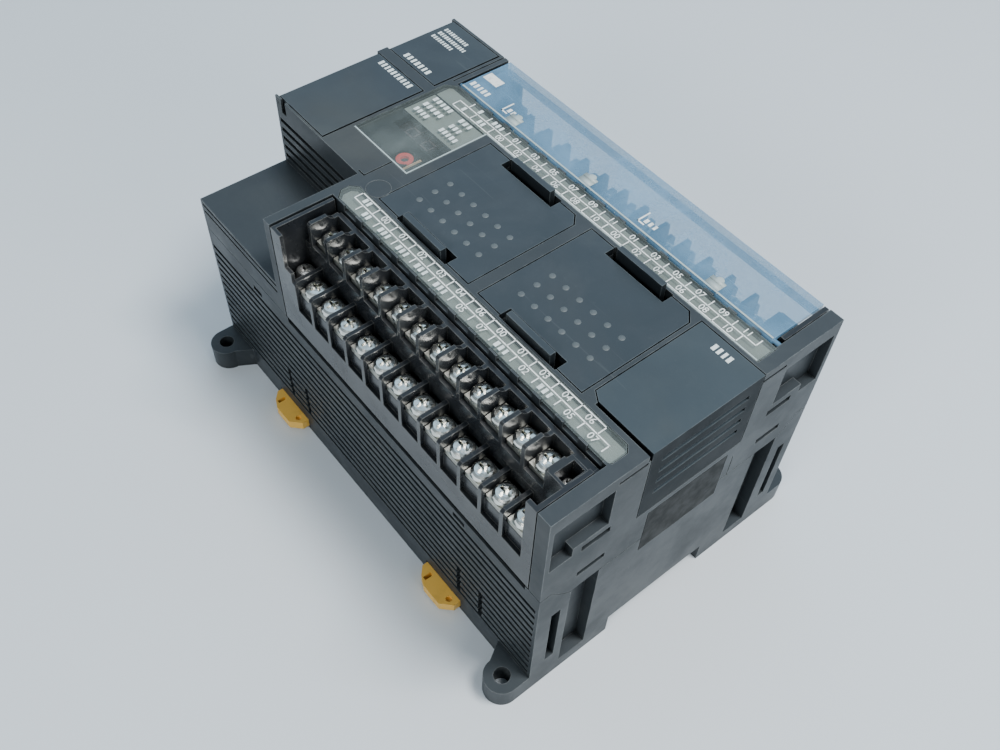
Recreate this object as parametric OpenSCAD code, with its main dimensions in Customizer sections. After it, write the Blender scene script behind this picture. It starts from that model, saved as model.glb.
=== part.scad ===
// Programmable logic controller module.
// The module lies on its back: X runs along the rail, Y across it (output terminals at -Y, input
// terminals at +Y), Z from the back face (Z = 0) to the front face. The origin is the middle of the back.

/* [Case] */
// Width of the case along the rail
body_w = 150; // [150:1:156]
// Height of the case between its two long faces
body_h = 90; // [90:1:92]
// Depth of the case from its back to its front face
body_d = 85; // [85:1:88]
// Thickness of the case walls
wall = 2.2; // [1.8:0.1:2.4]
// Height of the joint between the two case halves, at the long faces
split_z = 51; // [50.5:0.1:51.2]
// How far the joint dips across the ends of the case
split_drop = 6.2; // [4:0.1:6.5]
// Height of the low corner beside the output terminals
step_z = 62; // [60:0.5:64]
// Length of the low corner along the rail
step_w = 40.5; // [38:0.5:41]
// How far the low corner runs in from the output face
step_h = 28; // [24:0.5:28]
// Pitch of the cooling ribs on the long faces
rib_pitch = 3.15; // [3:0.05:3.3]
// Width of the groove between two ribs
groove_w = 1.5; // [0.8:0.1:1.6]
// Depth of the groove between two ribs
groove_d = 1.3; // [0.5:0.1:1.4]

/* [Mounting] */
// Distance between the mounting holes along X
hole_dx = 140; // [136:1:142]
// Distance between the mounting holes along Y
hole_dy = 100; // [98:1:102]
// Diameter of the mounting holes
hole_d = 4.5; // [4.2:0.1:5]
// Radius of the mounting ears
ear_r = 5; // [4.5:0.1:5.5]
// Height of the mounting ears
ear_h = 7.5; // [6:0.5:8]
// Width of the channel for the mounting rail
rail_w = 35; // [35:0.1:35.5]
// Depth of the channel for the mounting rail
rail_depth = 7.5; // [7:0.1:7.5]
// Distance of each rail clip from the middle
clip_x = 38.2; // [34:0.1:40]
// Width of a rail clip
clip_w = 15; // [12:0.5:16]
// How far a rail clip stands out of the case
clip_out = 5; // [4:0.5:5]

/* [Terminals] */
// Pitch of the screw terminals
pitch = 7.62; // [7.5:0.01:7.7]
// Screw terminals in each output row
output_cells = 12; // [10:1:12]
// Screw terminals in each input row
input_cells = 14; // [10:1:14]
// Thickness of the barriers between terminals
barrier_t = 1.2; // [1:0.1:1.4]
// Radius of a terminal screw's head
head_r = 3; // [2.6:0.1:3.1]
// Height of a terminal screw's head
head_h = 2; // [1.6:0.1:2.2]
// Radius of a terminal screw's shank
shank_r = 1.45; // [1.2:0.05:1.5]
// Thickness of a contact strip and of a clamp plate
plate_t = 0.8; // [0.6:0.1:1]

/* [Covers] */
// Thickness of the lids and covers
cover_t = 2; // [1.6:0.1:2.2]
// Gap round the covers
gap = 0.3; // [0.3:0.05:0.4]
// Thickness of the clear label panels and of the clear terminal cover
panel_t = 1.1; // [0.9:0.1:1.1]
// Width of an option slot cover along X
option_w = 36.4; // [34:0.1:36.4]
// Distance between the two option slot covers
option_pitch = 40.4; // [40:0.1:40.6]
// Middle of the left option slot cover
option_x = -5.1; // [-5.4:0.1:-5]
// Length of a latch lever
lever_w = 15.4; // [12:0.1:16]
// How far the latch levers stand above the front face
lever_rise = 2.5; // [1:0.1:3]
// Thickness of a latch lever
lever_t = 1.7; // [1.2:0.1:1.8]
// Width of the strip with the port lid and the battery lid
lid_w = 22.6; // [20:0.1:22.8]

/* [Electronics] */
// Thickness of the circuit boards
board_t = 1.6; // [1:0.1:2]
// Height of the power board above the back face
power_board_z = 12; // [11:0.5:13]
// Height of the input and output board above the back face
io_board_z = 45.8; // [45:0.1:46]
// Height of the processor board above the back face
cpu_board_z = 64; // [62:0.5:66]
// Radius of the adjuster's dial
dial_r = 2.4; // [2:0.1:2.6]

/* [Hidden] */

$fn = 32;
eps = 1;

// Case
x_r = body_w / 2;
x_l = -x_r;
y_f = body_h / 2;
z_t = body_d;
floor_t = 2.5;
hump_z = rail_depth + 2;
hump_y = rail_w / 2 + 2.5;
top_t = 3.3;
step_x = x_l + step_w;
step_y = -y_f + step_h;
split_flat_y = y_f - 3.6;
split_mid_y = y_f - 6.2;
split_low_y = y_f - 9.2;
split_mid_z = split_z - split_drop * 0.55;
split_low_z = split_z - split_drop;
front_from_z = split_z - 11;
seam_gap = 0.3;
seam_depth = 0.7;
line_w = 0.35;
line_depth = 0.6;
rib_first_z = 9;
rib_count = 12;
rib_end = 1;
ear_flare = 3.5;
post_r = 3;
vent_pitch = 7;
vent_w = 2;
clip_play = 0.4;
clip_z0 = 0.95;
clip_t = 3.1;
clip_tab_z1 = 6.2;
rail_lip = 1.5;
rail_lip_w = 20;
clip_groove_xs = [-38.2, -29, 44.2, 53.4];
clip_groove_w = 1.7;
clip_groove_z1 = rib_first_z + 13.6;
snap_x = x_l + 27;
bay_snap_x = 45;
snap_z = split_z - 4;
snap_w = 4;
snap_hook_h = 1.4;
snap_root_z = 58;
apron_lip_z = split_z - 1.7;
apron_groove_z = split_z - 4;
apron_groove_r = x_r - 5.2;
label_t = 0.2;
label_y0 = -12.5;
label_y1 = 14;
label_z0 = 39;
label_z1 = 56.5;
slot_wall = 1.6;

// Bays for the terminal blocks
bay_r = x_r - 4;
bay_y = 26.4;
bay_end_gap = 0.6;
bay_wall = 1.6;
bay_floor_z = 51.3;
bay_floor_t = 1.7;
last_barrier_x = bay_r - 7.05;
block_clear = 0.35;
block_end_gap = 3.7;
block_z = bay_floor_z + 0.35;
header_r = bay_r - 8.5;
header_y0 = -33.6;
header_y1 = -29.4;
apron_z = 61;
out_block_l = last_barrier_x - output_cells * pitch - block_end_gap;
in_block_l = last_barrier_x - input_cells * pitch - block_end_gap;
lower_shelf_z = 66.6;
upper_shelf_z = 76.2;
upper_pocket_z = 78;
block_screw_tip_z = 48.6;
upper_shelf_y = -36.5;
lower_shelf_y = -43.9;
block_back_y = -26.9;
barrier_back_y = -27.6;
back_drop = 1.5;
screw_clear = 0.1;
lower_barrier_z = 71.4;
upper_barrier_z = z_t - 1.2;
lower_screw_y = -40.7;
upper_screw_y = -32.2;
lower_fix_x = 3.95;
lower_fix_y = -39.4;
upper_fix_x = last_barrier_x + 3.1;
upper_fix_y = -32.8;

// Front face
strip_y0 = 19.4;
strip_y1 = 25.8;
strip_l = -31.8;
strip_r = 71.3;
window_l = -50.8;
window_r = -26.9;
window_y = -7.1;
panel_z = z_t - panel_t;
panel_gap = 0.15;
seat_gap = 0.3;
well_z = 70;
option_y = 17.8;
option_well_x = 15;
option_well_y = 12.5;
option_corner = 2.5;
latch_w = 20;
latch_y0 = 14.8;
latch_y1 = 18.55;
lever_y0 = 12.8;
lever_y1 = 18.1;
lever_web = 1.2;
lever_drop = 11;
exp_l = 55.2;
exp_y0 = -16.6;
exp_y1 = 17.9;
exp_z = 59;
exp_slot = 1.1;
exp_corner = 2.6;
lid_l = x_l + 0.2;
lid_r = lid_l + lid_w - 0.4;
lid_hinge_x = x_l + 1.7;
lid_hinge_r = 1.5;
lid_hinge_z = z_t - lid_hinge_r;
port_y0 = step_y + 0.9;
port_y1 = 16.8;
battery_y0 = 20.9;
battery_y1 = y_f - 1.2;
pin_r = 0.6;
pin_end = 0.8;
pin_hole_r = pin_r + 0.08;
cover_l = -48.1;
cover_r = 68.9;
cover_hinge_y = 27.8;
cover_hinge_z = z_t - 1;
cover_y1 = y_f - 0.1;
pin_reach = 3.4;

// Electronics
board_top = cpu_board_z + board_t;
power_top = power_board_z + board_t;
io_top = io_board_z + board_t;
board_in = 4;
board_y = 37.5;
cpu_board_y = 23.8;
spacer_r = 2.6;
lower_posts = [[-64, -34], [-64, 34], [60, -34], [60, 34]];
upper_posts = [[-27, -20.3], [-64, 20.3], [60, -20.3], [60, 20.3]];
battery_x = -62;
battery_z = 72;
battery_r = 6;
battery_end0 = 25.5;
battery_end1 = 40.5;
dial_x = -33.6;
dial_y = -2.9;
dial_z = 83.4;
dial_h = 2.2;
spindle_r = 0.9;
plug_x = dial_x + 2.75;
plug_t = 0.9;
plug_y0 = dial_y - 2.7;
plug_y1 = dial_y + 3.1;
display_l = -47;
display_r = -31.3;
display_y0 = 3.4;
display_y1 = 12;
display_z = 81.8;
lamp_z = 79;

function upper_barrier_x(i) = last_barrier_x - pitch * i;
function lower_barrier_x(i) = last_barrier_x - pitch / 2 - pitch * i;
function upper_cell_x(i) = upper_barrier_x(i) - pitch / 2;
function lower_cell_x(i) = lower_barrier_x(i) + pitch / 2;

// ---------------------------------------------------------------- helpers

module box(x0, x1, y0, y1, z0, z1) {
    translate([x0, y0, z0])
        cube([x1 - x0, y1 - y0, z1 - z0]);
}

module both_y() {
    children();
    mirror([0, 1, 0])
        children();
}

// An outline in Y and Z, drawn out along X
module along_x(x0, x1) {
    translate([x0, 0, 0])
        rotate([90, 0, 90])
            linear_extrude(height = x1 - x0)
                children();
}

module rod_x(x0, x1, y, z, r) {
    translate([x0, y, z])
        rotate([0, 90, 0])
            cylinder(r = r, h = x1 - x0);
}

module rod_y(x, y0, y1, z, r) {
    translate([x, y0, z])
        rotate([-90, 0, 0])
            cylinder(r = r, h = y1 - y0);
}

// ---------------------------------------------------------------- case halves

// The back half seen from its end: the joint dips between the two long faces
module back_outline() {
    polygon([
        [-y_f, 0], [y_f, 0], [y_f, split_z], [split_flat_y, split_z],
        [split_mid_y, split_mid_z], [split_low_y, split_low_z],
        [-split_low_y, split_low_z], [-split_mid_y, split_mid_z],
        [-split_flat_y, split_z], [-y_f, split_z]
    ]);
}

module rib_grooves(x0, x1, z0, count) {
    for (i = [0 : count - 1])
        box(x0, x1, -y_f - eps, -y_f + groove_d, z0 + i * rib_pitch, z0 + i * rib_pitch + groove_w);
}

module ear() {
    translate([hole_dx / 2, -hole_dy / 2, 0]) {
        cylinder(r = ear_r, h = ear_h);
        linear_extrude(height = ear_h)
            polygon([[ear_r, 0], [-ear_r, 0], [-ear_r - ear_flare, ear_r + 1], [ear_r, ear_r + 1]]);
    }
}

module ear_hole() {
    translate([hole_dx / 2, -hole_dy / 2, -eps])
        cylinder(r = hole_d / 2, h = ear_h + 2 * eps);
}

module four_ears() {
    both_y() {
        children();
        mirror([1, 0, 0])
            children();
    }
}

module clip_housing(x) {
    box(x - clip_w / 2 - 3, x + clip_w / 2 + 3, -y_f + 0.5, -rail_w / 2 - 1, 0, 8.4);
}

module clip_way(x) {
    half = clip_w / 2 + clip_play;
    box(x - half, x + half, -y_f - eps, -rail_w / 2 + eps, 0.6, 4.6);
    box(x - clip_w / 2 + 2, x + clip_w / 2 - 2, -y_f - eps, -rail_w / 2 + eps, -eps, 1);
    box(x - 5.4, x + 5.4, -rail_w / 2 - 9.5, -rail_w / 2 + eps, 1, 6.7);
}

// Slots in the end face, where a neighbouring unit hooks in: two in Y, two in Z, and the depth
side_slots = [
    [-35, -26.2, 5, split_low_z + 0.1, 3.4],
    [27.4, 35.6, 4, split_low_z + 0.1, 3.6],
    [-40.4, -37.5, 12.5, 38.2, 6],
    [39.4, 42, 12, 37, 6]
];

module side_slot(s) {
    box(x_r - s[4], x_r + eps, s[0], s[1], s[2], s[3]);
}

module side_slot_housing(s) {
    y0 = max(s[0] - slot_wall, -y_f + 0.5);
    y1 = min(s[1] + slot_wall, y_f - 0.5);
    z1 = min(s[3] + slot_wall, split_low_z);
    box(x_r - s[4] - slot_wall, x_r - 0.5, y0, y1, s[2] - slot_wall, z1);
}

// The ledge of the front half that closes a slot which runs up to the joint
module slot_cap(s) {
    y0 = s[0] - slot_wall;
    y1 = s[1] + slot_wall;
    box(x_r - s[4] - slot_wall, x_r - seam_depth, y0, y1, split_low_z, split_low_z + 0.9);
}

// Cooling slots in the left end face
module left_vents(z0, z1) {
    for (i = [-4 : 4])
        box(x_l - eps, x_l + wall + eps, i * vent_pitch - vent_w / 2, i * vent_pitch + vent_w / 2, z0, z1);
}

module label_recess() {
    margin = 0.2;
    y0 = label_y0 - margin;
    y1 = label_y1 + margin;
    box(x_r - label_t, x_r + eps, y0, y1, label_z0 - margin, label_z1 + margin);
}

// The dark slot under a terminal block's apron: a thin lip outside, a deep groove behind it
module apron_groove(left) {
    box(left, apron_groove_r, -y_f - eps, -y_f + 1, apron_lip_z, split_z + eps);
    box(left, apron_groove_r, -y_f + 0.6, -y_f + wall - 0.5, apron_groove_z, split_z + eps);
}

module back_case() {
    color([0.16, 0.17, 0.18])
    difference() {
        union() {
            difference() {
                along_x(x_l, x_r)
                    back_outline();
                difference() {
                    box(x_l + wall, x_r - wall, -y_f + wall, y_f - wall, floor_t, split_z + eps);
                    box(x_l, x_r, -hump_y, hump_y, 0, hump_z);
                }
            }
            for (s = side_slots)
                side_slot_housing(s);
            for (s = [-1, 1])
                clip_housing(s * clip_x);
            for (p = lower_posts)
                translate([p[0], p[1], floor_t - 0.5])
                    cylinder(r = post_r, h = power_board_z - floor_t + 0.5);
            four_ears()
                ear();
        }
        difference() {
            box(x_l - eps, x_r + eps, -rail_w / 2, rail_w / 2, -eps, rail_depth);
            for (x = [-60, -10, 40])
                box(x, x + rail_lip_w, rail_w / 2 - rail_lip, rail_w / 2 + eps, 3, 5.8);
        }
        four_ears()
            ear_hole();
        both_y()
            rib_grooves(x_l + rib_end, x_r - rib_end, rib_first_z, rib_count);
        for (s = side_slots)
            side_slot(s);
        for (s = [-1, 1])
            clip_way(s * clip_x);
        for (x = clip_groove_xs)
            box(x, x + clip_groove_w, -y_f - eps, -y_f + groove_d + 0.3, rib_first_z, clip_groove_z1);
        both_y()
            for (x = [snap_x, bay_snap_x])
                snap_slot(x);
        apron_groove(out_block_l);
        mirror([0, 1, 0])
            apron_groove(in_block_l);
        left_vents(14, 40);
        label_recess();
    }
}

// The slot in a long face that a snap hook comes out in, a little larger than the hook
module snap_slot(x) {
    half = snap_w / 2 + 0.3;
    half_h = snap_hook_h / 2 + 0.2;
    box(x - half, x + half, -y_f - eps, -y_f + wall + eps, snap_z - half_h, snap_z + half_h);
}

// The fine groove that shows where the two halves of the case meet
module seam() {
    difference() {
        translate([0, 0, seam_gap])
            along_x(x_l - eps, x_r + eps)
                back_outline();
        box(x_l + seam_depth, x_r - seam_depth, -y_f + seam_depth, y_f - seam_depth, 0, z_t);
    }
}

module front_outer() {
    difference() {
        box(x_l, x_r, -y_f, y_f, front_from_z, z_t);
        along_x(x_l - eps, x_r + eps)
            back_outline();
        seam();
        box(x_l - eps, step_x, -y_f - eps, step_y, step_z, z_t + eps);
    }
}

// The space inside the front half; the bays and the low corner keep a wall round them
module front_inner() {
    difference() {
        box(x_l + wall, x_r - wall, -y_f + wall, y_f - wall, front_from_z - eps, z_t - top_t);
        box(x_l, step_x + wall, -y_f, step_y + wall, step_z - wall, z_t);
        box(out_block_l - bay_end_gap - wall, x_r, -y_f, -bay_y + bay_wall, bay_floor_z - bay_floor_t, z_t);
        box(in_block_l - bay_end_gap - wall, x_r, bay_y - bay_wall, y_f, bay_floor_z - bay_floor_t, z_t);
        box(lid_r - 1, in_block_l, bay_y - bay_wall, y_f, z_t - 6.6, z_t);
    }
}

module bay(left) {
    slot_y0 = header_y0 - 0.6;
    slot_y1 = header_y1 + 0.6;
    floor_z0 = bay_floor_z - bay_floor_t - eps;
    box(left - bay_end_gap, bay_r, -y_f - eps, -bay_y, bay_floor_z, z_t + eps);
    box(left - bay_end_gap, bay_r, -y_f - eps, -y_f + wall + 0.1, front_from_z, bay_floor_z + eps);
    box(left + 5, header_r + 1, slot_y0, slot_y1, floor_z0, bay_floor_z + eps);
    block_screw_places(left)
        cylinder(r = shank_r + 0.4, h = z_t);
}

// The outline of an option slot cover, with one corner cut off
module option_outline(grow) {
    half = option_w / 2 + grow;
    y1 = option_y + grow;
    corner = option_corner + grow * 0.4;
    polygon([[-half, -y1], [half, -y1], [half, y1 - corner], [half - corner, y1], [-half, y1]]);
}

// The opening under an option slot cover: the well itself and the room for the latch levers
module option_opening(x) {
    translate([x, 0, z_t - cover_t - seat_gap])
        linear_extrude(height = cover_t + seat_gap + eps)
            option_outline(gap);
    box(x - option_well_x, x + option_well_x, -option_well_y, option_well_y, well_z, z_t + eps);
    both_y()
        box(x - latch_w / 2, x + latch_w / 2, option_well_y - 0.5, latch_y1, well_z, z_t + eps);
}

module window_outline(grow, right) {
    polygon([
        [window_l - grow, window_y - grow], [window_r + grow, window_y - grow],
        [window_r + grow, strip_y0 - grow], [right + grow, strip_y0 - grow],
        [right + grow, strip_y1 + grow], [window_l + 2.5, strip_y1 + grow],
        [window_l - grow, strip_y1 - 2.5]
    ]);
}

module output_strip_outline(grow) {
    x0 = strip_l - grow;
    x1 = strip_r + grow;
    y0 = -strip_y1 - grow;
    y1 = -strip_y0 + grow;
    polygon([
        [x0 + 2, y0], [x1 - 0.8, y0], [x1, y0 + 0.8], [x1, y1 - 1.5],
        [x1 - 1.5, y1], [x0 + 2, y1], [x0, y1 - 2], [x0, y0 + 2]
    ]);
}

// Where the lids of the port and the battery lie, and the wells under them
module lid_opening(y0, y1) {
    knuckle = lid_hinge_r + 0.4;
    rim = 3.5;
    box(lid_l - eps, lid_r + 2 * gap, y0 - gap, y1 + gap, z_t - cover_t - seat_gap, z_t + eps);
    box(x_l - eps, lid_hinge_x + knuckle, y0 - gap, y1 + gap, lid_hinge_z - knuckle, z_t + eps);
    box(lid_l + rim + lid_hinge_r, lid_r - rim + eps, y0 + rim, y1 - rim, well_z, z_t + eps);
    rod_y(lid_hinge_x, y0 - pin_end - 0.1, y1 + pin_end + 0.1, lid_hinge_z, pin_hole_r);
}

// The top outline of the expansion cover, with the corner beside the slot cut off
module expansion_outline(grow) {
    polygon([
        [exp_l - grow, exp_y0 + 1.6 - grow * 0.4], [exp_l + exp_corner - grow * 0.4, exp_y0 - grow],
        [x_r + grow * 9, exp_y0 - grow], [x_r + grow * 9, exp_y1 + grow], [exp_l - grow, exp_y1 + grow]
    ]);
}

module expansion_opening() {
    depth = cover_t + seat_gap;
    rim = 4;
    translate([0, 0, z_t - depth])
        linear_extrude(height = depth + eps)
            expansion_outline(gap);
    box(exp_l + exp_corner, x_r + eps, exp_y0 - exp_slot, exp_y0, z_t - depth, z_t + eps);
    box(x_r - depth, x_r + eps, exp_y0 - gap, exp_y1 + gap, exp_z - gap, z_t + eps);
    box(exp_l + rim - eps, x_r - cover_t - rim + eps, exp_y0 + rim, exp_y1 - rim, well_z, z_t + eps);
}

// Hooking pocket, slits and top groove at one corner of the right end face
module end_pockets() {
    pocket_depth = 2.6;
    slit_depth = 2;
    for (p = [[-43.6, -26.6, 66.8, 80.5], [-43.6, -37, 63.6, 67]])
        box(x_r - pocket_depth, x_r + eps, p[0], p[1], p[2], p[3]);
    for (p = [[62.6, 64.8], [50.8, 52.8]])
        box(x_r - slit_depth, x_r + eps, -34.2, -25.6, p[0], p[1]);
    box(x_r - slit_depth / 2, x_r + eps, -26, -17.6, 81.8, 82.8);
}

module front_case() {
    color([0.17, 0.18, 0.19]) {
        front_shell();
        both_y()
            bay_tongue();
    }
}

// A hook like the snap tongue, hung from the floor of a terminal bay
module bay_tongue() {
    y0 = -y_f + wall + 0.1;
    x0 = bay_snap_x - snap_w / 2;
    box(x0, x0 + snap_w, y0, y0 + 1.8, snap_z - 2.5, bay_floor_z - 0.1);
    box(x0, x0 + snap_w, -y_f + wall - 0.3, y0 + 0.5, snap_z - snap_hook_h / 2, snap_z + snap_hook_h / 2);
}

module front_shell() {
    difference() {
        union() {
            difference() {
                front_outer();
                front_inner();
            }
            both_y()
                snap_tongue();
            for (s = side_slots)
                if (s[3] > split_low_z)
                    slot_cap(s);
        }
        bay(out_block_l);
        mirror([0, 1, 0])
            bay(in_block_l);
        box(cover_l - 1, in_block_l, bay_y, y_f + eps, z_t - 5, z_t + eps);
        panel_recess()
            window_outline(panel_gap, strip_r);
        panel_recess()
            output_strip_outline(panel_gap);
        edge_dashes(-40.6, input_cells);
        mirror([0, 1, 0])
            edge_dashes(-26.6, output_cells);
        window_openings();
        lamp_slot(-44);
        mirror([0, 1, 0])
            lamp_slot(-28);
        for (i = [0, 1])
            option_opening(option_x + i * option_pitch);
        lid_opening(port_y0, port_y1);
        lid_opening(battery_y0, battery_y1);
        lid_finger_notch();
        expansion_opening();
        both_y()
            end_pockets();
        rod_x(cover_l - pin_reach - 0.4, bay_r + 1.4, cover_hinge_y, cover_hinge_z, pin_hole_r);
        rod_x(out_block_l - 1.6, bay_r + 1.4, -cover_hinge_y, cover_hinge_z, pin_hole_r);
        low_corner_ribs();
        left_vents(54, 59);
        label_recess();
        joint_lines();
    }
}

// The shallow seat of a clear panel in the front face
module panel_recess() {
    translate([0, 0, panel_z - 0.1])
        linear_extrude(height = panel_t + eps)
            children();
}

// The slot under a label panel that the indicator lamps shine through
module lamp_slot(left) {
    box(left, x_r - 7, strip_y0 + 1.2, strip_y1 - 1.8, well_z, z_t + eps);
}

// The little notch at the corner of the port lid
module lid_finger_notch() {
    box(x_l + 2.7, x_l + 5, step_y - eps, step_y + 2, z_t - 4.5, z_t + eps);
}

// Grooves low on the long face of the low corner, and ribs on the wall that rises behind it
module low_corner_ribs() {
    for (z = [step_z - 4.2, step_z - 1.8])
        box(x_l + rib_end, step_x, -y_f - eps, -y_f + 0.7, z, z + 0.9);
    for (i = [0 : 4]) {
        z = step_z + 2 + i * rib_pitch;
        box(x_l + rib_end, step_x, step_y - eps, step_y + groove_d, z, z + groove_w);
    }
}

// Fine joint lines: beside the side label, round the low corner and beside the terminal cover
module joint_lines() {
    y = step_y + 0.8;
    x = -33.2;
    z0 = z_t - line_depth;
    label_line_y = label_y1 + 2.8;
    box(x_r - line_depth, x_r + eps, label_line_y, label_line_y + line_w, split_low_z, split_z + 2.4);
    box(x, x + line_w, y, window_y - 0.2, z0, z_t + eps);
    box(step_x - eps, x + line_w, y, y + line_w, z0, z_t + eps);
    box(cover_l - 3, cover_l - 2.6, bay_y, y_f + eps, z0 - 0.2, z_t + eps);
}

// A broken line of short slots between a label panel and its bay, one beside each terminal
module edge_dashes(left, count) {
    dash = 4.9;
    for (i = [0 : count]) {
        x0 = left + i * pitch;
        box(x0, min(x0 + dash, strip_r), strip_y1 - eps, bay_y + eps, panel_z - 0.9, z_t + eps);
    }
}

// What shows through the clear window: the display, the adjuster and its connector
module window_openings() {
    box(display_l - gap, display_r + gap, display_y0 - gap, display_y1 + gap, well_z, z_t + eps);
    translate([dial_x, dial_y, well_z])
        cylinder(r = dial_r + 0.35, h = 20);
    box(plug_x - 0.25, plug_x + plug_t + 0.25, plug_y0 - gap, plug_y1 + gap, well_z, z_t + eps);
}

// A hook that reaches down inside the back half and snaps into its slot
module snap_tongue() {
    x0 = snap_x - snap_w / 2;
    y0 = -y_f + wall + 0.1;
    y1 = y0 + 1.2;
    box(x0, x0 + snap_w, y0, y1, snap_z - 2.5, snap_root_z);
    box(x0, x0 + snap_w, -y_f + 0.5, y1 - 0.3, snap_z - snap_hook_h / 2, snap_z + snap_hook_h / 2);
    box(x0, x0 + snap_w, -y_f + 0.5, y1, snap_root_z - 4, snap_root_z);
}

// ---------------------------------------------------------------- rail clips

module rail_clip(x) {
    y0 = -y_f - clip_out;
    half = clip_w / 2;
    translate([x, 0, 0])
    difference() {
        union() {
            translate([0, 0, clip_z0])
                linear_extrude(height = clip_t)
                    polygon([
                        [-half, -rail_w / 2 - 2], [-half, -y_f - 1.6], [-half + 2.3, y0 + 1.3],
                        [-half + 5.2, y0], [half - 3, y0], [half, y0 + 3], [half, -rail_w / 2 - 2]
                    ]);
            box(-5, 5, -rail_w / 2 - 4, -rail_w / 2 + rail_lip, clip_z0 + clip_t - 0.85, clip_tab_z1);
        }
        // A slit and a small blind hole for a screwdriver's tip
        box(-half + 3, -half + 4.2, -y_f - 3.6, -y_f - 1, 0, 5);
        translate([half - 2.4, -y_f - 1.9, clip_z0 + clip_t - 1])
            cylinder(r = 0.9, h = 2);
    }
}

module din_clip_left() {
    color([0.9, 0.6, 0.12])
        rail_clip(-clip_x);
}

module din_clip_right() {
    color([0.9, 0.6, 0.12])
        rail_clip(clip_x);
}

// ---------------------------------------------------------------- front panels and covers

module indicator_window() {
    color([0.55, 0.58, 0.52, 0.6])
        translate([0, 0, panel_z])
            linear_extrude(height = panel_t)
                window_outline(0, strip_r);
}

module output_label_strip() {
    color([0.55, 0.58, 0.52, 0.6])
        translate([0, 0, panel_z])
            linear_extrude(height = panel_t)
                output_strip_outline(0);
}

module input_cover() {
    color([0.62, 0.72, 0.8, 0.45]) {
        box(cover_l, cover_r, cover_hinge_y, cover_y1, z_t - panel_t, z_t);
        box(cover_l, cover_r, cover_y1 - panel_t, cover_y1, z_t - 4, z_t);
        rod_x(cover_l, cover_r, cover_hinge_y, cover_hinge_z, 1);
        rod_x(cover_l - pin_reach, cover_r + 2.8, cover_hinge_y, cover_hinge_z, pin_r);
        box(cover_l, cover_l + panel_t, cover_hinge_y, cover_y1, z_t - 2.6, z_t);
    }
}

module lid(y0, y1) {
    box(lid_hinge_x, lid_r, y0, y1, z_t - cover_t, z_t);
    rod_y(lid_hinge_x, y0, y1, lid_hinge_z, lid_hinge_r);
    rod_y(lid_hinge_x, y0 - 0.8, y1 + 0.8, lid_hinge_z, pin_r);
    box(lid_r - 4, lid_r - 3, (y0 + y1) / 2 - 3, (y0 + y1) / 2 + 3, z_t - 6, z_t - cover_t);
}

module port_lid() {
    color([0.18, 0.19, 0.2])
        lid(port_y0, port_y1);
}

module battery_lid() {
    color([0.18, 0.19, 0.2])
        lid(battery_y0, battery_y1);
}

// A latch lever: a springy tongue that hangs under the cover and comes up through its notch
module latch_lever() {
    x0 = -lever_w / 2;
    x1 = lever_w / 2;
    z0 = z_t - lever_drop;
    box(x0, x1, lever_y0, lever_y0 + lever_web, z0, z_t - cover_t + 0.5);
    box(x0, x1, lever_y0, lever_y1, z0, z0 + lever_web);
    box(x0, x1, lever_y1 - lever_t, lever_y1, z0, z_t + lever_rise);
}

module option_cover(x) {
    translate([x, 0, 0]) {
        difference() {
            translate([0, 0, z_t - cover_t])
                linear_extrude(height = cover_t)
                    option_outline(0);
            both_y()
                box(-latch_w / 2, latch_w / 2, latch_y0, option_y + eps, z_t - cover_t - eps, z_t + eps);
        }
        both_y()
            latch_lever();
    }
}

module option_cover_left() {
    color([0.18, 0.2, 0.21])
        option_cover(option_x);
}

module option_cover_right() {
    color([0.18, 0.2, 0.21])
        option_cover(option_x + option_pitch);
}

module expansion_cover() {
    color([0.18, 0.2, 0.21])
    difference() {
        union() {
            translate([0, 0, z_t - cover_t])
                linear_extrude(height = cover_t)
                    expansion_outline(0);
            box(x_r - cover_t, x_r, exp_y0, exp_y1, exp_z, z_t);
        }
        // Cooling slots in the side of the cover
        for (i = [0 : 3])
            translate([0, 0, exp_z + 6.8 + i * 4.4])
                box(x_r - cover_t - eps, x_r + eps, exp_y0 + 3.6, exp_y1 - 3.6, 0, 1.6);
    }
}

module side_label() {
    color([0.05, 0.05, 0.06])
        box(x_r - label_t, x_r, label_y0, label_y1, label_z0, label_z1);
}

// ---------------------------------------------------------------- terminal blocks

// One barrier of the upper row, with a dip behind the screw head
module upper_barrier(x, top) {
    along_x(x - barrier_t / 2, x + barrier_t / 2)
        polygon([
            [upper_shelf_y, upper_shelf_z - 6], [upper_shelf_y, top - 0.5], [upper_shelf_y + 0.5, top],
            [-31.2, top], [-30.4, top - 1], [-29.4, top - 1.6], [-28, top - back_drop],
            [barrier_back_y, top - back_drop], [barrier_back_y, upper_shelf_z - 6]
        ]);
}

module lower_barrier(x) {
    along_x(x - barrier_t / 2, x + barrier_t / 2)
        polygon([
            [-y_f, apron_z], [-y_f, lower_barrier_z - 0.8], [-y_f + 0.8, lower_barrier_z],
            [upper_shelf_y + 0.5, lower_barrier_z], [upper_shelf_y + 0.5, apron_z]
        ]);
}

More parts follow.
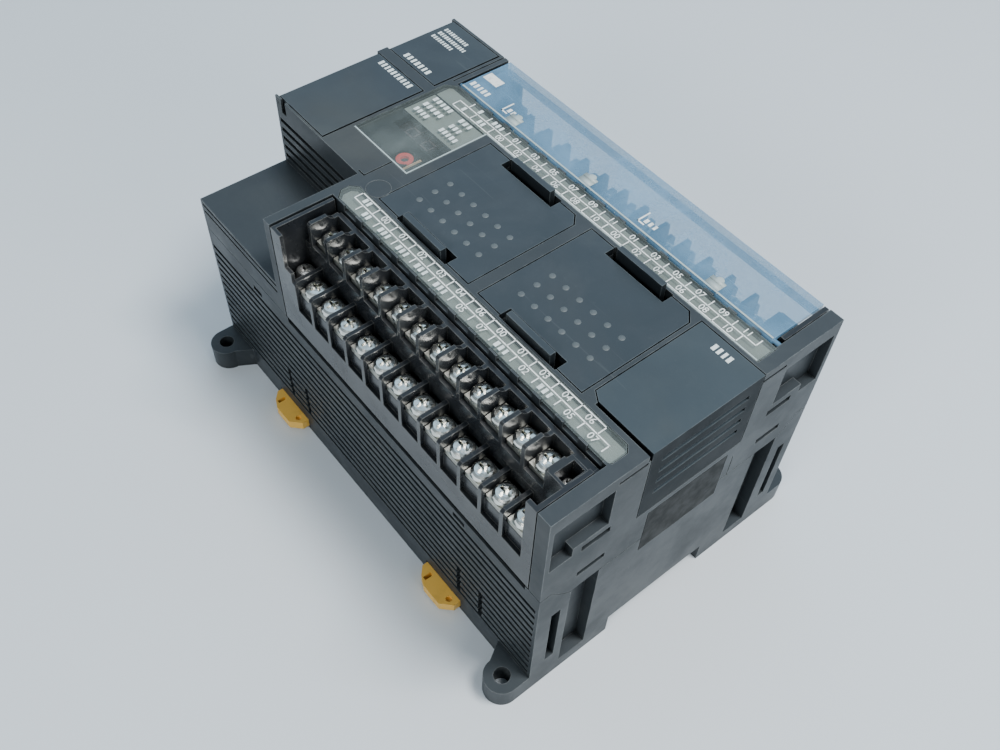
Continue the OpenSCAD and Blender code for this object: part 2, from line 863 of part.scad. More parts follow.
module block_housing(cells, left, rim, top, post_w) {
    right = bay_r - block_clear;
    first_wall = upper_barrier_x(cells);
    pocket_r = lower_barrier_x(cells - 1) - barrier_t / 2;
    rim_z = z_t - 0.3;
    back_z = top - back_drop;
    pin_room = 1.6;
    pin_room_z = cover_hinge_z - pin_room;
    difference() {
        union() {
            box(left, right, upper_shelf_y, barrier_back_y, block_z, upper_shelf_z);
            box(left, right, lower_shelf_y, upper_shelf_y, block_z, lower_shelf_z);
            box(left, right, -y_f, lower_shelf_y + 0.5, block_z, apron_z);
            box(left, left + 1.1, -y_f, block_back_y, block_z, rim);
            box(left, left + 4.2, -y_f, -y_f + 1, apron_z - 1, rim);
            box(left, pocket_r, -y_f, -y_f + 1, apron_z - 1, 73.8);
            box(right - 1.3, right, -y_f, block_back_y, block_z, rim_z);
            box(right - post_w, right, -y_f, -y_f + 1.2, apron_z - 1, rim_z);
            box(first_wall, right, -28.3, block_back_y, upper_shelf_z - 2, back_z);
            box(last_barrier_x, right, upper_shelf_y, -29.5, upper_shelf_z - 2, top);
            box(last_barrier_x, right, -29.6, block_back_y, upper_shelf_z - 2, back_z);
            for (i = [0 : cells])
                upper_barrier(upper_barrier_x(i), top);
            for (i = [0 : cells - 1])
                lower_barrier(lower_barrier_x(i));
        }
        box(left + 6, header_r + 1, header_y0 - 0.4, header_y1 + 0.4, block_z - eps, block_z + 6);
        box(last_barrier_x + 1.4, right - 1.9, upper_shelf_y + 0.8, -30.2, upper_pocket_z, z_t + eps);
        for (i = [0 : cells - 1]) {
            translate([upper_cell_x(i), upper_screw_y, upper_shelf_z - 7])
                cylinder(r = shank_r + screw_clear, h = 7 + eps);
            translate([lower_cell_x(i), lower_screw_y, lower_shelf_z - 7])
                cylinder(r = shank_r + screw_clear, h = 7 + eps);
        }
        block_screw_places(left)
            cylinder(r = shank_r + screw_clear, h = z_t);
        // Room for the hinge pin of the terminal cover
        box(right - 2, right + eps, -cover_hinge_y - pin_room, block_back_y + eps, pin_room_z, z_t + eps);
    }
}

// The two screws that hold a terminal block down, one in each end pocket
module block_screw_places(left) {
    translate([left + lower_fix_x, lower_fix_y, 0])
        children();
    translate([upper_fix_x, upper_fix_y, 0])
        children();
}

// A pan head with a cross recess, and its shank; Z = 0 is under the head
module pan_screw(r, h, shank) {
    difference() {
        union() {
            rotate_extrude()
                polygon([
                    [0, 0], [r, 0], [r, h * 0.45], [r * 0.93, h * 0.7], [r * 0.75, h * 0.9],
                    [r * 0.45, h * 0.98], [0, h]
                ]);
            translate([0, 0, -shank])
                cylinder(r = shank_r, h = shank + 0.2);
        }
        for (a = [0, 90])
            rotate([0, 0, a])
                box(-r * 0.58, r * 0.58, -0.4, 0.4, h * 0.35, h + eps);
    }
}

module each_cell(cells) {
    for (i = [0 : cells - 1]) {
        translate([upper_cell_x(i), upper_screw_y, upper_shelf_z])
            children();
        translate([lower_cell_x(i), lower_screw_y, lower_shelf_z])
            children();
    }
}

module contact_strip() {
    difference() {
        box(-2.9, 2.9, -3.1, 3.6, 0, plate_t);
        cylinder(r = shank_r + screw_clear, h = 4, center = true);
    }
}

module clamp_plate() {
    difference() {
        box(-3.05, 3.05, -3.05, 3.05, plate_t, 2 * plate_t);
        cylinder(r = shank_r + screw_clear, h = 6, center = true);
    }
}

module terminal_screws(cells) {
    each_cell(cells)
        translate([0, 0, 2 * plate_t])
            pan_screw(head_r, head_h, 6);
}

module block_screws(left) {
    washer_h = 1.3;
    large_r = 2.6;
    small_r = 1.6;
    translate([left + lower_fix_x, lower_fix_y, lower_shelf_z]) {
        cylinder(r = large_r, h = washer_h);
        translate([0, 0, washer_h])
            pan_screw(large_r, head_h, lower_shelf_z + washer_h - block_screw_tip_z);
    }
    translate([upper_fix_x, upper_fix_y, upper_pocket_z])
        pan_screw(small_r, small_r, upper_pocket_z - block_screw_tip_z);
}

module header(left) {
    z0 = io_board_z + board_t;
    pin_w = 1;
    box(left + 7, header_r, header_y0, header_y1, z0, bay_floor_z - bay_floor_t);
    for (i = [0 : floor((header_r - left - 10) / pitch)])
        translate([header_r - 3 - i * pitch, -32, 0])
            box(0, pin_w, 0, pin_w, z0, block_z + 5);
}

module output_terminal_block() {
    color([0.13, 0.14, 0.15])
        block_housing(output_cells, out_block_l, z_t - 0.3, upper_barrier_z, 3.4);
}

module output_screws() {
    color([0.82, 0.83, 0.8])
        terminal_screws(output_cells);
}

module output_clamp_plates() {
    color([0.74, 0.75, 0.72])
        each_cell(output_cells)
            clamp_plate();
}

module output_contacts() {
    color([0.7, 0.68, 0.6])
        each_cell(output_cells)
            contact_strip();
}

module output_block_screws() {
    color([0.75, 0.75, 0.72])
        block_screws(out_block_l);
}

module output_header() {
    color([0.1, 0.1, 0.1])
        header(out_block_l);
}

module input_terminal_block() {
    color([0.13, 0.14, 0.15])
        mirror([0, 1, 0])
            block_housing(input_cells, in_block_l, z_t - 5, z_t - panel_t - 0.4, 1.3);
}

module input_screws() {
    color([0.82, 0.83, 0.8])
        mirror([0, 1, 0])
            terminal_screws(input_cells);
}

module input_clamp_plates() {
    color([0.74, 0.75, 0.72])
        mirror([0, 1, 0])
            each_cell(input_cells)
                clamp_plate();
}

module input_contacts() {
    color([0.7, 0.68, 0.6])
        mirror([0, 1, 0])
            each_cell(input_cells)
                contact_strip();
}

module input_block_screws() {
    color([0.75, 0.75, 0.72])
        mirror([0, 1, 0])
            block_screws(in_block_l);
}

module input_header() {
    color([0.1, 0.1, 0.1])
        mirror([0, 1, 0])
            header(in_block_l);
}

// ---------------------------------------------------------------- boards and what they carry

// A circuit board, x0 to x1 by -y to y, with a screw hole at each post
module board(x0, x1, y, z, posts) {
    hole_r = 1.6;
    difference() {
        box(x0, x1, -y, y, z, z + board_t);
        for (p = posts)
            translate([p[0], p[1], z - eps])
                cylinder(r = hole_r, h = board_t + 2 * eps);
    }
}

module power_board() {
    color([0.05, 0.35, 0.2])
        board(x_l + board_in, x_r - 9, board_y, power_board_z, lower_posts);
}

module io_board() {
    color([0.05, 0.35, 0.2])
        board(x_l + board_in, x_r - board_in, board_y, io_board_z, concat(lower_posts, upper_posts));
}

module cpu_board() {
    corner = wall + 0.6;
    color([0.05, 0.35, 0.2])
        difference() {
            board(x_l + board_in, x_r - board_in, cpu_board_y, cpu_board_z, upper_posts);
            box(x_l, step_x + corner, -y_f, step_y + corner, cpu_board_z - eps, board_top + eps);
        }
}

module board_spacers() {
    color([0.8, 0.8, 0.78]) {
        for (p = lower_posts)
            translate([p[0], p[1], power_top])
                cylinder(r = spacer_r, h = io_board_z - power_top);
        for (p = upper_posts)
            translate([p[0], p[1], io_top])
                cylinder(r = spacer_r, h = cpu_board_z - io_top);
    }
}

module board_links() {
    color([0.85, 0.83, 0.76]) {
        box(-10, 30, 30, 34, power_top, io_board_z);
        box(-15, 35, 19, 22, io_top, cpu_board_z);
    }
}

module transformer() {
    core = 28;
    coil = 22;
    core_h = 5;
    coil_h = 14;
    color([0.75, 0.65, 0.25])
        translate([-16, 0, power_top]) {
            for (z = [0, core_h + coil_h])
                box(-core / 2, core / 2, -core / 2, core / 2, z, z + core_h);
            box(-coil / 2, coil / 2, -coil / 2, coil / 2, core_h, core_h + coil_h);
        }
}

module capacitors() {
    color([0.15, 0.15, 0.4]) {
        for (y = [-12, 12])
            translate([-50, y, power_top])
                cylinder(r = 9, h = 27);
        for (x = [14, 27], y = [-24, -10])
            translate([x, y, power_top])
                cylinder(r = 5, h = 18);
    }
}

module heat_sink() {
    fins = 6;
    plate = 2;
    width = 40;
    depth = 8;
    tall = 28;
    color([0.7, 0.7, 0.72])
        translate([40, -width / 2, power_top]) {
            box(0, plate, 0, width, 0, tall);
            for (i = [0 : fins - 1])
                translate([plate, i * (width - plate) / (fins - 1), 0])
                    box(0, depth, 0, plate, 0, tall);
        }
}

module power_transistors() {
    half = 5;
    color([0.1, 0.1, 0.1])
        for (y = [-10, 6])
            box(35.5, 40, y - half, y + half, power_top + 8, power_top + 24);
}

// A glass fuse in its two holders
module fuse() {
    x0 = -66;
    length = 20;
    y = 26;
    holder = 4;
    color([0.85, 0.85, 0.8]) {
        rod_x(x0, x0 + length, y, power_top + 5, 2.6);
        for (x = [x0, x0 + length - holder])
            box(x, x + holder, y - 3.2, y + 3.2, power_top, power_top + 3);
    }
}

module line_filter() {
    tall = 14;
    color([0.15, 0.45, 0.25])
        translate([-28, 27, power_top])
            difference() {
                cylinder(r = 8.5, h = tall);
                translate([0, 0, -eps])
                    cylinder(r = 3.6, h = tall + 2 * eps);
            }
}

module output_relays() {
    step = 10;
    width = 8;
    color([0.1, 0.15, 0.2])
        for (i = [0 : 7])
            translate([-22 + i * step, 0, 0])
                box(0, width, -23, -4, io_top, io_top + 13);
}

module input_couplers() {
    step = 8;
    width = 5;
    color([0.12, 0.12, 0.12])
        for (i = [0 : 11])
            translate([-40 + i * step, 0, 0])
                box(0, width, 6, 14, io_top, io_top + 4);
}

// Each chip's two ends in X and in Y
module logic_chips() {
    chips = [[-28, -22, -16, -4], [13.5, 16.5, -8, 8], [52, 55, -10, 8]];
    color([0.1, 0.1, 0.11])
        for (c = chips)
            box(c[0], c[1], c[2], c[3], board_top, board_top + 1.8);
}

// A hollow connector shell, x0 to x1 by y0 to y1, that stands on the processor board
module socket(x0, x1, y0, y1, top, shell, floor_h) {
    difference() {
        box(x0, x1, y0, y1, board_top, top);
        box(x0 + shell, x1 - shell, y0 + shell, y1 - shell, board_top + floor_h, top + eps);
    }
}

module option_connectors() {
    half_x = 11;
    half_y = 3.2;
    color([0.9, 0.88, 0.8])
        for (i = [0, 1])
            translate([option_x + i * option_pitch, 0, 0])
                socket(-half_x, half_x, -half_y, half_y, 75.5, 1.2, 3.4);
}

module expansion_connector() {
    color([0.12, 0.12, 0.13])
        socket(60.5, 67.5, -10, 12, 78, 1.2, 5.4);
}

module port_connector() {
    half = 6;
    color([0.75, 0.76, 0.77])
        translate([battery_x, 0, 0])
            socket(-half, half, -half, half, 78, 1.6, 3.4);
}

module battery() {
    color([0.2, 0.5, 0.75])
        rod_y(battery_x, battery_end0, battery_end1, battery_z, battery_r);
}

module battery_holder() {
    half = 7.5;
    end_wall = 0.9;
    play = 0.2;
    open = battery_r + 0.05;
    y0 = battery_end0 - play;
    y1 = battery_end1 + play;
    color([0.1, 0.1, 0.11])
        difference() {
            translate([battery_x, 0, battery_z])
                box(-half, half, y0 - end_wall, y1 + end_wall, -12, 1);
            rod_y(battery_x, y0, y1, battery_z, open);
            box(battery_x - open, battery_x + open, y0, y1, battery_z, battery_z + battery_r);
        }
}

module segment_display() {
    color([0.12, 0.1, 0.1])
        box(display_l, display_r, display_y0, display_y1, board_top, display_z);
}

// A row of small slide switches beside the port
module mode_switches() {
    x0 = -66;
    y0 = 8.2;
    count = 6;
    step = 1.4;
    slider = 0.8;
    top = board_top + 8;
    color([0.75, 0.15, 0.12]) {
        box(x0, x0 + (count + 0.4) * step, y0, y0 + 4.6, board_top, top);
        for (i = [0 : count - 1])
            translate([x0 + 0.6 + i * step, y0 + 1.2, 0])
                box(0, slider, 0, step, top - 0.5, top + 1);
    }
}

module adjuster_base() {
    half = 2.45;
    top = dial_z - dial_h - 0.3;
    color([0.85, 0.84, 0.8])
        difference() {
            box(dial_x - half, dial_x + half, dial_y - half, dial_y + half, board_top, top);
            translate([dial_x, dial_y, top - 3.4])
                cylinder(r = spindle_r + 0.08, h = 8);
        }
}

module adjuster_dial() {
    slot_w = 0.8;
    recess_h = 0.8;
    slot_h = 1.4;
    spindle_h = 3.3;
    color([0.85, 0.25, 0.22])
        translate([dial_x, dial_y, dial_z - dial_h])
            difference() {
                union() {
                    cylinder(r = dial_r, h = dial_h);
                    translate([0, 0, -spindle_h])
                        cylinder(r = spindle_r, h = spindle_h + 0.7);
                }
                translate([0, 0, dial_h - recess_h])
                    cylinder(r = dial_r * 0.5, h = recess_h + eps);
                translate([0, 0, dial_h - slot_h])
                    box(-dial_r * 0.45, dial_r * 0.45, -slot_w / 2, slot_w / 2, 0, slot_h + eps);
            }
}

// The slim upright connector beside the adjuster
module adjuster_connector() {
    shell = 0.3;
    color([0.85, 0.72, 0.55])
        difference() {
            box(plug_x, plug_x + plug_t, plug_y0, plug_y1, board_top, dial_z);
            translate([plug_x + shell, 0, dial_z - 2])
                box(0, plug_t - 2 * shell, plug_y0 + 0.4, plug_y1 - 0.4, 0, 2 + eps);
        }
}

// A light guide under each cell of the label panels, and three pairs under the window
module indicator_lamps() {
    lamp_w = 1.4;
    lamp_d = 1;
    color([0.8, 0.85, 0.6]) {
        for (i = [0 : input_cells - 2], y = [20.9, 22.7])
            translate([-40 + i * pitch, y, 0])
                box(0, lamp_w, 0, lamp_d, board_top, lamp_z);
        for (i = [0 : output_cells - 2])
            translate([-22 + i * pitch, -23, 0])
                box(0, lamp_w, 0, lamp_d, board_top, lamp_z);
        for (i = [0 : 2], x = [-46, -38])
            translate([x, 16.6 - i * 0.9, 0])
                box(0, lamp_w, 0, lamp_d * 0.6, board_top, lamp_z);
    }
}

// ---------------------------------------------------------------- assembly

back_case();
front_case();
din_clip_left();
din_clip_right();
indicator_window();
output_label_strip();
input_cover();
port_lid();
battery_lid();
option_cover_left();
option_cover_right();
expansion_cover();
output_terminal_block();
output_screws();
output_clamp_plates();
output_contacts();
output_block_screws();
input_terminal_block();
input_screws();
input_clamp_plates();
input_contacts();
input_block_screws();
output_header();
input_header();
power_board();
transformer();
capacitors();
heat_sink();
power_transistors();
fuse();
line_filter();
io_board();
output_relays();
input_couplers();
board_spacers();
board_links();
cpu_board();
logic_chips();
option_connectors();
expansion_connector();
port_connector();
battery();
battery_holder();
segment_display();
mode_switches();
adjuster_base();
adjuster_dial();
adjuster_connector();
indicator_lamps();
side_label();
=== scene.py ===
"""Looks of the programmable logic controller module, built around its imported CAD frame.

Lengths are millimetres until MM turns them into metres. X runs along the rail, Y from the output
terminals to the input terminals, Z from the back face to the front face.
"""

import math

import bmesh
import bpy
from mathutils import Matrix, Vector


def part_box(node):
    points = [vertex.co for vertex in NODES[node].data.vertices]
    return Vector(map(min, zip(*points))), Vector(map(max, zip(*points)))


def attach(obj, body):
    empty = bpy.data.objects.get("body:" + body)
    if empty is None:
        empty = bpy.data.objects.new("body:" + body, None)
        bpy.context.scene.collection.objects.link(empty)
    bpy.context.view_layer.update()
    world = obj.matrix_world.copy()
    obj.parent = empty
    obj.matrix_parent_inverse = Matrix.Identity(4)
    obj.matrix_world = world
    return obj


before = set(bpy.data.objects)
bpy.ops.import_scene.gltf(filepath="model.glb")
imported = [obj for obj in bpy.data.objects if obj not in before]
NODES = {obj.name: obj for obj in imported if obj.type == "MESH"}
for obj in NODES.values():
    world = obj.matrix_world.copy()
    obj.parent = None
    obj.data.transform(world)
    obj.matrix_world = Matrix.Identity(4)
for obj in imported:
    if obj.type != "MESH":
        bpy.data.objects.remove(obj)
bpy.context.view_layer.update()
MM = 0.001

# The layout that the printed marks follow
PITCH = 7.62
FRONT_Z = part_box("front_case")[1].z / MM
INK_Z = FRONT_Z + 0.005
OUT_CELLS = 12
IN_CELLS = 14
LAST_BARRIER_X = 63.95
STRIP_IN = 19.4
STRIP_MID = 22.6
STRIP_OUT = 25.8
WINDOW_CORNER_X = -27.3
FILM_THICK = 0.075
FILM_GAP = 0.005


# ---------------------------------------------------------------- shader building


class Shader:
    """A Principled material while its node tree is being put together."""

    def __init__(self, name):
        self.mat = bpy.data.materials.new(name)
        self.mat.use_nodes = True
        self.tree = self.mat.node_tree
        self.bsdf = self.tree.nodes["Principled BSDF"]
        self.coords = self.tree.nodes.new("ShaderNodeTexCoord")

    def node(self, kind, **props):
        made = self.tree.nodes.new(kind)
        for key, value in props.items():
            setattr(made, key, value)
        return made

    def link(self, out, into):
        self.tree.links.new(out, into)
        return out

    def feed(self, socket, value):
        """Links a socket, or sets its number."""
        if isinstance(value, bpy.types.NodeSocket):
            self.link(value, socket)
        else:
            socket.default_value = value

    def place(self, stretch):
        mapping = self.node("ShaderNodeMapping")
        self.link(self.coords.outputs["Object"], mapping.inputs["Vector"])
        mapping.inputs["Scale"].default_value = stretch
        return mapping.outputs["Vector"]

    def noise(self, scale, detail=3.0, roughness=0.55, stretch=(1, 1, 1), distortion=0.0):
        made = self.node("ShaderNodeTexNoise")
        self.link(self.place(stretch), made.inputs["Vector"])
        made.inputs["Scale"].default_value = scale
        made.inputs["Detail"].default_value = detail
        made.inputs["Roughness"].default_value = roughness
        made.inputs["Distortion"].default_value = distortion
        return made.outputs["Fac"]

    def voronoi(self, scale, stretch=(1, 1, 1)):
        made = self.node("ShaderNodeTexVoronoi", feature="DISTANCE_TO_EDGE")
        self.link(self.place(stretch), made.inputs["Vector"])
        made.inputs["Scale"].default_value = scale
        return made.outputs["Distance"]

    def remap(self, value, low, high, to_low=0.0, to_high=1.0):
        made = self.node("ShaderNodeMapRange", interpolation_type="SMOOTHSTEP")
        self.feed(made.inputs["Value"], value)
        made.inputs["From Min"].default_value = low
        made.inputs["From Max"].default_value = high
        made.inputs["To Min"].default_value = to_low
        made.inputs["To Max"].default_value = to_high
        return made.outputs["Result"]

    def maths(self, operation, a, b):
        made = self.node("ShaderNodeMath", operation=operation)
        self.feed(made.inputs[0], a)
        self.feed(made.inputs[1], b)
        return made.outputs[0]

    def mix(self, factor, a, b):
        made = self.node("ShaderNodeMix", data_type="RGBA")
        self.feed(made.inputs["Factor"], factor)
        for name, value in (("A", a), ("B", b)):
            socket = [s for s in made.inputs if s.name == name and s.type == "RGBA"][0]
            self.feed(socket, value if isinstance(value, bpy.types.NodeSocket) else (*value, 1.0))
        return [s for s in made.outputs if s.type == "RGBA"][0]

    def up_facing(self):
        """1 on faces that look to the front of the module, 0 on its sides."""
        split = self.node("ShaderNodeSeparateXYZ")
        self.link(self.coords.outputs["Normal"], split.inputs[0])
        return self.remap(split.outputs["Z"], 0.3, 0.9)

    def sharp_edge_mask(self, radius, gain):
        """How near a point is to a sharp edge, from the rounded shading normal."""
        bevel = self.node("ShaderNodeBevel", samples=4)
        bevel.inputs["Radius"].default_value = radius * MM
        flat = self.node("ShaderNodeNewGeometry")
        dot = self.node("ShaderNodeVectorMath", operation="DOT_PRODUCT")
        self.link(bevel.outputs["Normal"], dot.inputs[0])
        self.link(flat.outputs["True Normal"], dot.inputs[1])
        return self.remap(dot.outputs["Value"], 0.995, 0.995 - gain)

    def crevices(self, reach, open_share, shut_share):
        """1 deep in recesses and corners, 0 on open faces."""
        hidden = self.node("ShaderNodeAmbientOcclusion", samples=6)
        hidden.inputs["Distance"].default_value = reach * MM
        return self.remap(hidden.outputs["AO"], open_share, shut_share)

    def bump(self, height, strength, depth, onto=None):
        made = self.node("ShaderNodeBump")
        made.inputs["Strength"].default_value = strength
        made.inputs["Distance"].default_value = depth * MM
        self.link(height, made.inputs["Height"])
        if onto is not None:
            self.link(onto, made.inputs["Normal"])
        return made.outputs["Normal"]

    def finish(self, **sockets):
        """Sets or links the shader's own sockets and returns the material."""
        names = {
            "color": "Base Color",
            "rough": "Roughness",
            "metal": "Metallic",
            "normal": "Normal",
            "alpha": "Alpha",
            "specular": "Specular IOR Level",
        }
        for key, value in sockets.items():
            socket = self.bsdf.inputs[names[key]]
            if isinstance(value, tuple):
                value = (*value, 1.0)
            self.feed(socket, value)
        return self.mat


# ---------------------------------------------------------------- materials


def moulded_plastic(name, color, dust_color, dust, rough, specular, grain=1.0, wear_and_highlight=0.5, side_shade=1.0):
    """Textured moulded plastic: fine spark grain, mottling, dust, edges lightened by rubbing and by a
    painted highlight, painted shade in the recesses.

    The last argument darkens the faces that don't look to the front of the module, a painted shade.
    """
    shade_tone = (0.004, 0.005, 0.006)
    crevice_shade_share = 0.85
    stain_tone = (0.11, 0.1, 0.075)
    stain_share = 0.22
    scratch_share = 0.22 * wear_and_highlight
    edge_lightening_share = 0.8 * wear_and_highlight
    s = Shader(name)
    front = s.up_facing()

    # Mottling in the plastic itself
    lighter = tuple(c * 1.35 + 0.004 for c in color)
    color_out = s.mix(s.noise(55, 5, 0.6), color, lighter)

    # Dust in patches and specks, thicker on the sides than on the wiped front
    patches = s.remap(s.noise(38, 6, 0.65, distortion=0.6), 0.42, 0.72)
    specks = s.remap(s.noise(900, 2, 0.5), 0.62, 0.78)
    film = s.maths("ADD", s.maths("MULTIPLY", patches, 0.75), s.maths("MULTIPLY", specks, 0.35))
    on_sides = s.maths("SUBTRACT", 1.0, s.maths("MULTIPLY", front, 0.45))
    dusty = s.maths("MULTIPLY", s.maths("MULTIPLY", film, on_sides), dust)
    color_out = s.mix(dusty, color_out, dust_color)

    # Broad olive stains on the front, and painted shade that darkens the sides
    stain = s.maths("MULTIPLY", s.remap(s.noise(17, 4, 0.55, distortion=0.4), 0.5, 0.72), front)
    color_out = s.mix(s.maths("MULTIPLY", stain, stain_share), color_out, stain_tone)
    color_out = s.mix(front, s.mix(1.0 - side_shade, color_out, shade_tone), color_out)

    # Scratches, and sharp edges lightened partly by rubbing and partly as a painted highlight
    scratch = s.remap(s.noise(120, 2, 0.4, stretch=(0.25, 9.0, 3.0), distortion=0.8), 0.715, 0.745)
    color_out = s.mix(s.maths("MULTIPLY", scratch, scratch_share), color_out, dust_color)
    edge_lightening = s.maths("MULTIPLY", s.sharp_edge_mask(0.4, 0.2), s.remap(s.noise(260, 3), 0.25, 0.6))
    shiny = tuple(c * 1.7 for c in dust_color)
    color_out = s.mix(s.maths("MULTIPLY", edge_lightening, edge_lightening_share), color_out, shiny)

    # Painted shade in the recesses, then the grain of the mould
    deep = s.crevices(4.0, 0.68, 0.25)
    color_out = s.mix(s.maths("MULTIPLY", deep, crevice_shade_share), color_out, shade_tone)
    roughness = s.remap(s.noise(70, 4, 0.6), 0.3, 0.75, rough - 0.06, rough + 0.1)
    normal = s.bump(s.noise(2600, 2, 0.5), 0.16 * grain, 0.05)
    normal = s.bump(s.noise(340, 3, 0.5), 0.06, 0.1, normal)
    return s.finish(color=color_out, rough=roughness, normal=normal, specular=specular)


def nickel_plate(name, color, dirt_color, rough, brushed=False):
    """Bright nickel with dulling, dirt spots, painted shade in the low places and fine marks from a
    driver.
    """
    shade_tone = (0.035, 0.035, 0.03)
    dull_share = 0.4
    spot_share = 0.35
    s = Shader(name)
    dull = s.remap(s.noise(420, 5, 0.65), 0.4, 0.7)
    color_out = s.mix(s.maths("MULTIPLY", dull, dull_share), color, dirt_color)
    spots = s.remap(s.noise(1500, 3, 0.6), 0.66, 0.74)
    color_out = s.mix(s.maths("MULTIPLY", spots, spot_share), color_out, dirt_color)
    # Painted shade in the low places
    color_out = s.mix(s.crevices(0.7, 0.75, 0.3), color_out, shade_tone)
    roughness = s.remap(s.noise(900, 4, 0.6), 0.3, 0.7, rough, rough + 0.18)
    stretch = (1, 9, 1) if brushed else (1, 1, 1)
    normal = s.bump(s.noise(1000, 3, 0.5, stretch=stretch), 0.16, 0.05)
    return s.finish(color=color_out, rough=roughness, metal=1.0, normal=normal)


def clear_plastic(name, color, alpha, rough, haze):
    """Clear plastic gone milky: fine scratches and finger marks change how much shows through."""
    fine_share = 0.08
    edge_highlight_share = 0.3
    most = 0.97
    s = Shader(name)
    smears = s.remap(s.noise(45, 5, 0.6, distortion=0.9), 0.35, 0.75)
    fine = s.remap(s.noise(220, 2, 0.5, stretch=(0.3, 6, 1), distortion=0.5), 0.66, 0.72)
    cover = s.maths("ADD", s.maths("MULTIPLY", smears, haze), s.maths("MULTIPLY", fine, fine_share))
    # Paler and more opaque along sharp edges, a painted highlight
    edge = s.maths("MULTIPLY", s.sharp_edge_mask(0.5, 0.25), edge_highlight_share)
    cover = s.maths("ADD", s.maths("ADD", cover, edge), alpha)
    paler = tuple(min(1.0, c * 1.25 + 0.04) for c in color)
    color_out = s.mix(s.maths("ADD", smears, edge), color, paler)
    roughness = s.remap(s.noise(300, 4, 0.6), 0.3, 0.7, rough, rough + 0.12)
    normal = s.bump(s.noise(90, 3, 0.5), 0.05, 0.2)
    return s.finish(color=color_out, rough=roughness, alpha=s.maths("MINIMUM", cover, most),
                    normal=normal, specular=0.6)


def smooth_plastic(name, color, rough, dirt=0.3, specular=0.5):
    """Smooth small parts: a little shade variation and grime."""
    s = Shader(name)
    darker = tuple(c * 0.55 for c in color)
    grime = s.remap(s.noise(190, 5, 0.65), 0.45, 0.75)
    color_out = s.mix(s.maths("MULTIPLY", grime, dirt), color, darker)
    roughness = s.remap(s.noise(240, 3), 0.3, 0.7, rough, rough + 0.15)
    normal = s.bump(s.noise(1400, 2), 0.08, 0.04)
    return s.finish(color=color_out, rough=roughness, normal=normal, specular=specular)


def printed(name, color):
    """Screen-printed ink, a little worn."""
    s = Shader(name)
    worn = tuple(c * 0.72 for c in color)
    color_out = s.mix(s.remap(s.noise(700, 4, 0.6), 0.45, 0.7), color, worn)
    return s.finish(color=color_out, rough=s.remap(s.noise(500, 2), 0.3, 0.7, 0.45, 0.6))


def circuit_board(name):
    """Green solder mask with faint tracks under it."""
    track_tone = (0.035, 0.17, 0.085)
    mask_tone = (0.012, 0.085, 0.04)
    s = Shader(name)
    tracks = s.remap(s.voronoi(230), 0.02, 0.06)
    color_out = s.mix(tracks, track_tone, mask_tone)
    normal = s.bump(tracks, 0.3, 0.04)
    roughness = s.remap(s.noise(300, 3), 0.3, 0.7, 0.3, 0.42)
    return s.finish(color=color_out, rough=roughness, normal=normal)


def copper_winding(name):
    """Varnished wire laid in turns."""
    gap_tone = (0.16, 0.07, 0.015)
    wire_tone = (0.62, 0.33, 0.09)
    s = Shader(name)
    wave = s.node("ShaderNodeTexWave", bands_direction="Z")
    s.link(s.coords.outputs["Object"], wave.inputs["Vector"])
    wave.inputs["Scale"].default_value = 420
    wave.inputs["Distortion"].default_value = 0.3
    turns = wave.outputs["Fac"]
    color_out = s.mix(turns, gap_tone, wire_tone)
    roughness = s.remap(s.noise(200, 3), 0.3, 0.7, 0.3, 0.45)
    return s.finish(color=color_out, rough=roughness, metal=0.4, normal=s.bump(turns, 0.6, 0.15))


COVER_SHADE = (0.025, 0.034, 0.041)
COVER_DUST = (0.11, 0.125, 0.13)

